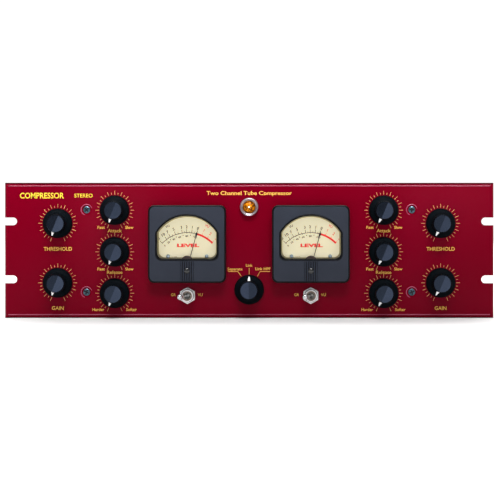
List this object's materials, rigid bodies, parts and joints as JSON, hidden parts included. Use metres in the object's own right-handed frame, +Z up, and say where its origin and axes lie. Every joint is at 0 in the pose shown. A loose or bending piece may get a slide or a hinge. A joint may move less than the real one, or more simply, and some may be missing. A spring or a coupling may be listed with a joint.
{
  "type": "rack compressor",
  "caption": "Rack-mounted two-channel valve compressor: burgundy front panel with pointer meters, fluted knobs, toggles and a jewel lamp; vented case behind.",
  "frame": {"origin": "centre of the front panel's back face, the plane that meets the rack rails", "axes": "+X right as seen from the front, +Y into the rack, +Z up"},
  "size_m": [0.4826, 0.3467, 0.1334],
  "materials": {
    "panel_paint": "satin burgundy enamel",
    "blued_steel": "dark blued steel",
    "case_coat": "fine textured charcoal powder coat",
    "black_screw": "black oxide",
    "rubber": "matt black",
    "chrome": "bright plated",
    "amber_lens": "faceted amber",
    "black_plastic": "moulded black",
    "zinc": "zinc plated",
    "nickel": "satin nickel",
    "knob_plastic": "moulded black",
    "meter_plastic": "satin slate grey",
    "meter_glass": "clear",
    "dial_card": "cream printed card",
    "movement_steel": "plain",
    "needle_black": "matt black",
    "lamination": "varnished",
    "screening_can": "grey hammer finish",
    "board": "green solder resist",
    "ceramic": "glazed",
    "valve_glass": "clear",
    "capacitor_sleeve": "blue sleeve",
    "brass": "turned"
  },
  "bodies": {
    "root": {"front_panel": "panel_paint", "panel_screws": "blued_steel", "chassis_pan": "case_coat", "rear_panel": "case_coat", "top_cover": "case_coat", "case_screws": "black_screw", "rubber_feet": "rubber", "lamp_bezel": "chrome", "lamp_jewel": "amber_lens", "lamp_holder": "black_plastic", "toggle_nuts": "chrome", "potentiometer_bodies": "zinc", "selector_body": "zinc", "panel_nuts": "nickel", "input_sockets": "nickel", "output_plugs": "nickel", "mains_inlet": "black_plastic", "power_switch_frame": "black_plastic", "mains_transformer": "lamination", "audio_transformers": "screening_can", "supply_board": "board", "valve_sockets": "ceramic", "valves": "valve_glass", "filter_capacitors": "capacitor_sleeve", "board_standoffs": "brass", "meter_case_left": "meter_plastic", "meter_window_left": "meter_glass", "meter_dial_left": "dial_card", "meter_barrel_left": "black_plastic", "meter_movement_left": "movement_steel", "toggle_body_left": "nickel", "amplifier_board_left": "board", "meter_case_right": "meter_plastic", "meter_window_right": "meter_glass", "meter_dial_right": "dial_card", "meter_barrel_right": "black_plastic", "meter_movement_right": "movement_steel", "toggle_body_right": "nickel", "amplifier_board_right": "board"},
    "threshold_knob_left": {"threshold_knob_left": "knob_plastic"},
    "gain_knob_left": {"gain_knob_left": "knob_plastic"},
    "attack_knob_left": {"attack_knob_left": "knob_plastic"},
    "release_knob_left": {"release_knob_left": "knob_plastic"},
    "ratio_knob_left": {"ratio_knob_left": "knob_plastic"},
    "threshold_knob_right": {"threshold_knob_right": "knob_plastic"},
    "gain_knob_right": {"gain_knob_right": "knob_plastic"},
    "attack_knob_right": {"attack_knob_right": "knob_plastic"},
    "release_knob_right": {"release_knob_right": "knob_plastic"},
    "ratio_knob_right": {"ratio_knob_right": "knob_plastic"},
    "selector_knob": {"selector_knob": "knob_plastic"},
    "meter_needle_left": {"meter_needle_left": "needle_black"},
    "zero_screw_left": {"zero_screw_left": "black_plastic"},
    "toggle_lever_left": {"toggle_lever_left": "chrome"},
    "input_latch_left": {"input_latch_left": "nickel"},
    "meter_needle_right": {"meter_needle_right": "needle_black"},
    "zero_screw_right": {"zero_screw_right": "black_plastic"},
    "toggle_lever_right": {"toggle_lever_right": "chrome"},
    "input_latch_right": {"input_latch_right": "nickel"},
    "power_rocker": {"power_rocker": "black_plastic"},
    "fuse_drawer": {"fuse_drawer": "black_plastic"}
  },
  "joints": [
    {"name": "threshold_knob_left_turn", "type": "hinge", "parent": "root", "child": "threshold_knob_left", "pos_m": [-0.1886, -0.013, 0.0267], "axis": [0, 1, 0], "range_deg": [0, 315]},
    {"name": "gain_knob_left_turn", "type": "hinge", "parent": "root", "child": "gain_knob_left", "pos_m": [-0.1886, -0.013, -0.0319], "axis": [0, 1, 0], "range_deg": [0, 315]},
    {"name": "attack_knob_left_turn", "type": "hinge", "parent": "root", "child": "attack_knob_left", "pos_m": [-0.1325, -0.013, 0.0396], "axis": [0, 1, 0], "range_deg": [0, 315]},
    {"name": "release_knob_left_turn", "type": "hinge", "parent": "root", "child": "release_knob_left", "pos_m": [-0.1325, -0.013, -0.0014], "axis": [0, 1, 0], "range_deg": [0, 315]},
    {"name": "ratio_knob_left_turn", "type": "hinge", "parent": "root", "child": "ratio_knob_left", "pos_m": [-0.1325, -0.013, -0.0422], "axis": [0, 1, 0], "range_deg": [0, 315]},
    {"name": "threshold_knob_right_turn", "type": "hinge", "parent": "root", "child": "threshold_knob_right", "pos_m": [0.1886, -0.013, 0.0267], "axis": [0, 1, 0], "range_deg": [0, 315]},
    {"name": "gain_knob_right_turn", "type": "hinge", "parent": "root", "child": "gain_knob_right", "pos_m": [0.1886, -0.013, -0.0319], "axis": [0, 1, 0], "range_deg": [0, 315]},
    {"name": "attack_knob_right_turn", "type": "hinge", "parent": "root", "child": "attack_knob_right", "pos_m": [0.1325, -0.013, 0.0396], "axis": [0, 1, 0], "range_deg": [0, 315]},
    {"name": "release_knob_right_turn", "type": "hinge", "parent": "root", "child": "release_knob_right", "pos_m": [0.1325, -0.013, -0.0014], "axis": [0, 1, 0], "range_deg": [0, 315]},
    {"name": "ratio_knob_right_turn", "type": "hinge", "parent": "root", "child": "ratio_knob_right", "pos_m": [0.1325, -0.013, -0.0422], "axis": [0, 1, 0], "range_deg": [0, 315]},
    {"name": "selector_knob_turn", "type": "hinge", "parent": "root", "child": "selector_knob", "pos_m": [0, -0.013, -0.0386], "axis": [0, 1, 0], "range_deg": [-30, 30]},
    {"name": "meter_needle_left_swing", "type": "hinge", "parent": "root", "child": "meter_needle_left", "pos_m": [-0.0607, -0.008, -0.0171], "axis": [0, 1, 0], "range_deg": [-60.6, 30.4]},
    {"name": "zero_screw_left_turn", "type": "hinge", "parent": "root", "child": "zero_screw_left", "pos_m": [-0.0607, -0.014, -0.0197], "axis": [0, 1, 0], "continuous": true},
    {"name": "toggle_lever_left_throw", "type": "hinge", "parent": "root", "child": "toggle_lever_left", "pos_m": [-0.0607, -0.00836, -0.0444], "axis": [0, 0, 1], "range_deg": [0, 33]},
    {"name": "input_latch_left_push", "type": "slide", "parent": "root", "child": "input_latch_left", "axis": [0, -1, 0], "range_m": [0, 0.0012], "stiffness_N_per_m": 300},
    {"name": "meter_needle_right_swing", "type": "hinge", "parent": "root", "child": "meter_needle_right", "pos_m": [0.0607, -0.008, -0.0171], "axis": [0, 1, 0], "range_deg": [-60.6, 30.4]},
    {"name": "zero_screw_right_turn", "type": "hinge", "parent": "root", "child": "zero_screw_right", "pos_m": [0.0607, -0.014, -0.0197], "axis": [0, 1, 0], "continuous": true},
    {"name": "toggle_lever_right_throw", "type": "hinge", "parent": "root", "child": "toggle_lever_right", "pos_m": [0.0607, -0.00836, -0.0444], "axis": [0, 0, 1], "range_deg": [0, 33]},
    {"name": "input_latch_right_push", "type": "slide", "parent": "root", "child": "input_latch_right", "axis": [0, -1, 0], "range_m": [0, 0.0012], "stiffness_N_per_m": 300},
    {"name": "power_rocker_tilt", "type": "hinge", "parent": "root", "child": "power_rocker", "pos_m": [-0.126, 0.3105, 0.008], "axis": [1, 0, 0], "range_deg": [-18, 0]},
    {"name": "fuse_drawer_slide", "type": "slide", "parent": "root", "child": "fuse_drawer", "axis": [0, 1, 0], "range_m": [0, 0.018]}
  ]
}
